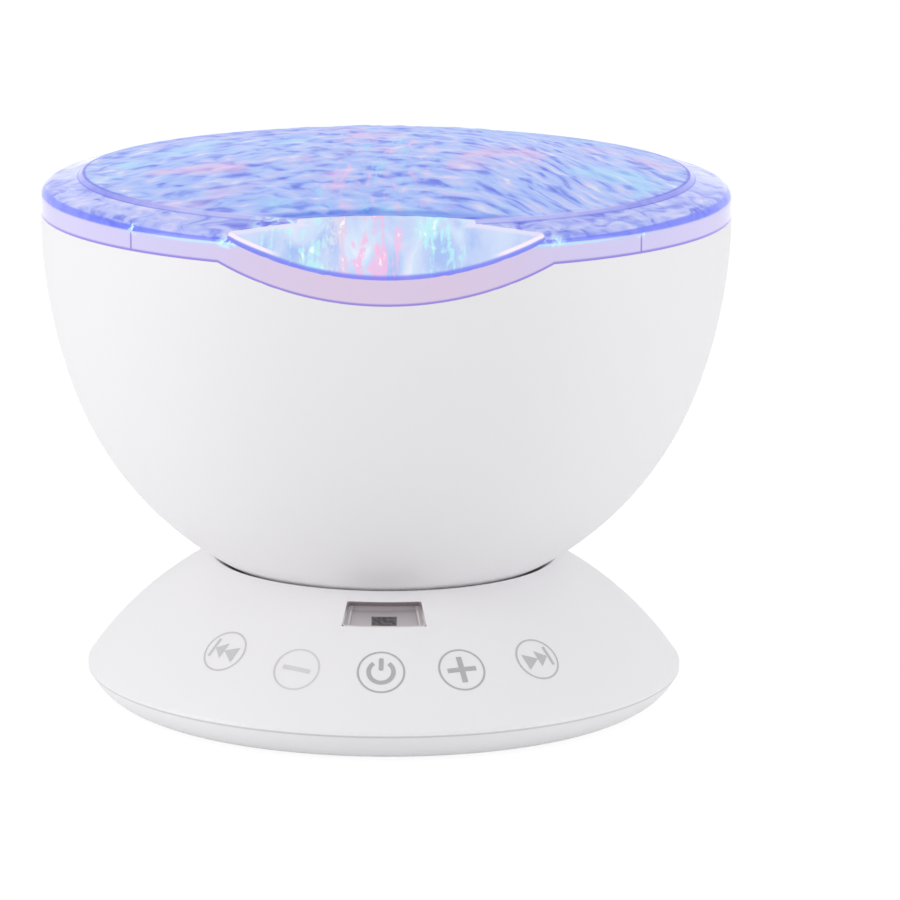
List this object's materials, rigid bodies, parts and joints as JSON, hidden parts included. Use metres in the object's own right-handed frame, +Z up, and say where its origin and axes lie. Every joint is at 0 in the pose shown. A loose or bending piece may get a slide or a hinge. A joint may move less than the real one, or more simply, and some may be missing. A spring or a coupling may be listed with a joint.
{
  "type": "star night light projector",
  "caption": "Round bowl lamp with a lit, rippled clear lid and a sloped front light window, tilting on a low domed base with touch keys, speaker and sockets.",
  "frame": {"origin": "centre of the bottom, on the surface that the rubber feet stand on", "axes": "+Z up, -Y towards the front with the sloped light window and the keys, +X to the viewer's right"},
  "size_m": [0.15, 0.15, 0.123],
  "materials": {
    "shell_white": "fine satin moulding",
    "lid_clear": "clear, rippled, lit from inside",
    "disc_clear": "clear, rippled",
    "deck_white": "white, reflecting",
    "board_green": "solder mask",
    "lamp_clear": "clear epoxy",
    "steel": "plain steel",
    "screw_steel": "zinc plated",
    "gear_natural": "natural acetal",
    "motor_tin": "pressed can",
    "rubber_grey": "soft",
    "window_smoke": "smoked, clear",
    "black_plastic": "moulded black",
    "clamp_white": "glass-filled moulding",
    "spring_steel": "spring wire",
    "can_blue": "sleeved can",
    "plug_ivory": "moulded",
    "brass": "plated",
    "foam_black": "foam",
    "basket_grey": "pressed and painted",
    "magnet_grey": "ferrite and plate",
    "cone_black": "pressed paper",
    "lead_grey": "sleeved wires"
  },
  "bodies": {
    "base": {"friction_ring": "rubber_grey", "base_cover": "shell_white", "signal_window": "window_smoke", "signal_receiver": "black_plastic", "clamp_post": "clamp_white", "clamp_washer": "steel", "clamp_spring": "spring_steel", "clamp_nut": "clamp_white", "base_plate": "shell_white", "rubber_feet": "rubber_grey", "touch_panel": "board_green", "touch_springs": "spring_steel", "main_board": "board_green", "board_chips": "black_plastic", "capacitors": "can_blue", "lead_plug": "plug_ivory", "power_socket": "black_plastic", "power_pin": "brass", "audio_socket": "black_plastic", "speaker_gasket": "foam_black", "speaker_basket": "basket_grey", "speaker_magnet": "magnet_grey", "speaker_cone": "cone_black", "head_lead": "lead_grey", "board_screws": "screw_steel", "base_screws": "screw_steel"},
    "head": {"bowl": "shell_white", "lid": "lid_clear", "light_deck": "deck_white", "light_board": "deck_white", "lamps": "lamp_clear", "disc_spindle": "steel", "spindle_clip": "steel", "gear_motor": "motor_tin", "head_plug": "plug_ivory", "deck_screws": "screw_steel", "light_board_screws": "screw_steel", "motor_screws": "screw_steel"},
    "wave_disc": {"wave_disc": "disc_clear", "drive_ring": "gear_natural"},
    "pinion": {"pinion": "gear_natural", "motor_shaft": "steel"}
  },
  "joints": [
    {"name": "head_tilt", "type": "hinge", "parent": "base", "child": "head", "pos_m": [0, 0, 0.094], "axis": [1, 0, 0], "range_deg": [-22.5, 22.5], "deforming": ["head_lead"]},
    {"name": "disc_turn", "type": "hinge", "parent": "head", "child": "wave_disc", "pos_m": [0, 0, 0.1], "axis": [0, 0, 1], "continuous": true},
    {"name": "pinion_turn", "type": "hinge", "parent": "head", "child": "pinion", "pos_m": [0.0302, 0, 0.095], "axis": [0, 0, 1], "continuous": true}
  ],
  "couplings": [
    {"joint": "pinion_turn", "follows": "disc_turn", "ratio": -4}
  ]
}
